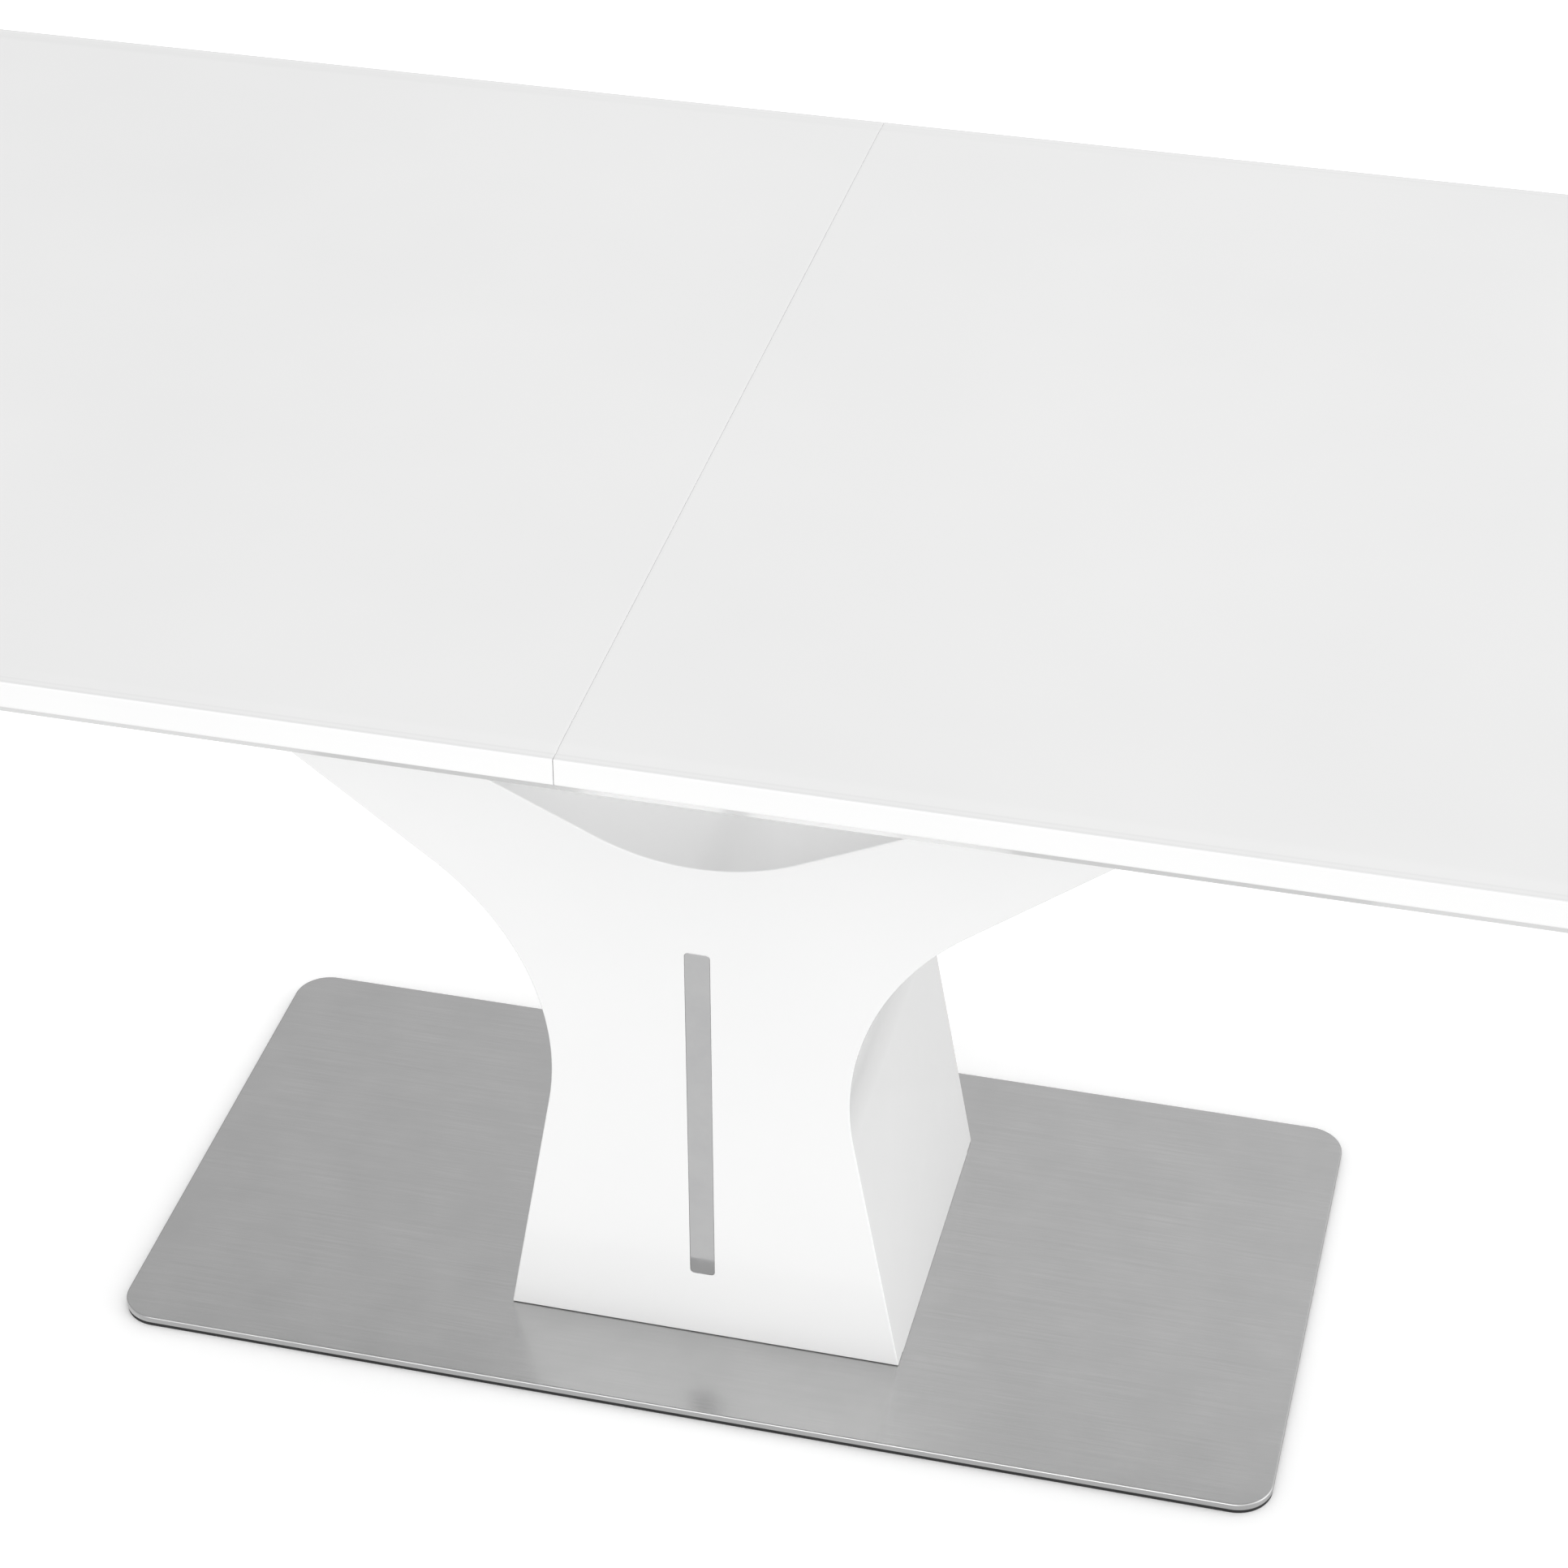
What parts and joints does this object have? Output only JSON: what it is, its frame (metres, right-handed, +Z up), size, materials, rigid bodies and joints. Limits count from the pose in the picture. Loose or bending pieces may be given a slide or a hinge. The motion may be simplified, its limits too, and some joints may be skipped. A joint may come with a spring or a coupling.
{
  "type": "extendable dining table",
  "caption": "Extendable pedestal dining table with sliding top halves, rack and pinion equaliser, stored folding leaf and flat steel base.",
  "frame": {"origin": "on the floor, under the centre of the pedestal and base", "axes": "+X along the table's length, +Z up; the front with the latch faces -Y"},
  "size_m": [1.6, 0.9, 0.753],
  "materials": {
    "white_lacquer": "high-gloss white lacquer on MDF",
    "raw_mdf": "raw sawn MDF",
    "beech": "turned beech, unfinished",
    "black_rubber": "matt black sheet",
    "raw_steel": "hot-rolled mild steel plate",
    "brushed_stainless": "stainless sheet, brushed along the length",
    "polished_stainless": "mirror-polished stainless strip",
    "zinc_steel": "bright zinc plate",
    "black_steel": "satin black powder coat",
    "aluminium": "satin anodised extrusion",
    "black_nylon": "moulded nylon",
    "felt": "pressed felt",
    "acetal": "natural acetal",
    "hinge_brass": "stamped brass"
  },
  "bodies": {
    "frame": {"base_underlay": "black_rubber", "base_core": "raw_steel", "base_cover": "brushed_stainless", "base_bolts": "zinc_steel", "pedestal_bottom_block": "raw_mdf", "pedestal_waist_rib": "raw_mdf", "front_panel": "white_lacquer", "back_panel": "white_lacquer", "left_side_skin": "white_lacquer", "right_side_skin": "white_lacquer", "scoop_skin": "white_lacquer", "front_inlay": "polished_stainless", "back_inlay": "polished_stainless", "left_arm_block": "raw_mdf", "right_arm_block": "raw_mdf", "left_arm_plate": "black_steel", "right_arm_plate": "black_steel", "arm_plate_bolts": "zinc_steel", "left_cross_tube": "black_steel", "right_cross_tube": "black_steel", "cross_tube_bolts": "zinc_steel", "front_fixed_rail": "aluminium", "back_fixed_rail": "aluminium", "rail_bolts": "zinc_steel", "travel_stops": "black_steel", "leaf_rest_pads": "black_nylon", "left_tray_strap": "black_steel", "right_tray_strap": "black_steel", "tray_screws": "zinc_steel", "tray_felts": "felt", "pinion_bracket": "black_steel", "pinion_axle": "zinc_steel", "pinion_washers": "zinc_steel", "front_rack_guide": "black_nylon", "back_rack_guide": "black_nylon", "leaf_lower_half": "white_lacquer", "leaf_upper_half": "white_lacquer", "leaf_hinge_plates": "hinge_brass", "leaf_hinge_pins": "zinc_steel", "leaf_dowels": "beech"},
    "left_top": {"left_tabletop": "white_lacquer", "left_outer_runner": "aluminium", "left_inner_runner": "aluminium", "left_glides": "black_nylon", "left_runner_screws": "zinc_steel", "left_dowels": "beech", "left_rack": "aluminium", "left_rack_bracket": "black_steel", "latch_pivot": "zinc_steel"},
    "right_top": {"right_tabletop": "white_lacquer", "right_outer_runner": "aluminium", "right_inner_runner": "aluminium", "right_glides": "black_nylon", "right_runner_screws": "zinc_steel", "right_dowels": "beech", "right_rack": "aluminium", "right_rack_bracket": "black_steel", "latch_keeper": "zinc_steel"},
    "pinion": {"equaliser_pinion": "acetal"},
    "latch": {"latch_hook": "black_steel"}
  },
  "joints": [
    {"name": "left_slide", "type": "slide", "parent": "frame", "child": "left_top", "axis": [-1, 0, 0], "range_m": [0, 0.2]},
    {"name": "right_slide", "type": "slide", "parent": "frame", "child": "right_top", "axis": [1, 0, 0], "range_m": [0, 0.2]},
    {"name": "pinion_spin", "type": "hinge", "parent": "frame", "child": "pinion", "pos_m": [0, 0, 0.6385], "axis": [0, 0, 1], "range_deg": [0, 640]},
    {"name": "latch_swing", "type": "hinge", "parent": "left_top", "child": "latch", "pos_m": [-0.022, -0.352, 0.7135], "axis": [0, 0, 1], "range_deg": [0, 90]}
  ],
  "couplings": [
    {"joint": "right_slide", "follows": "left_slide", "ratio": 1},
    {"joint": "pinion_spin", "follows": "left_slide", "rad_per_m": 55.556}
  ]
}
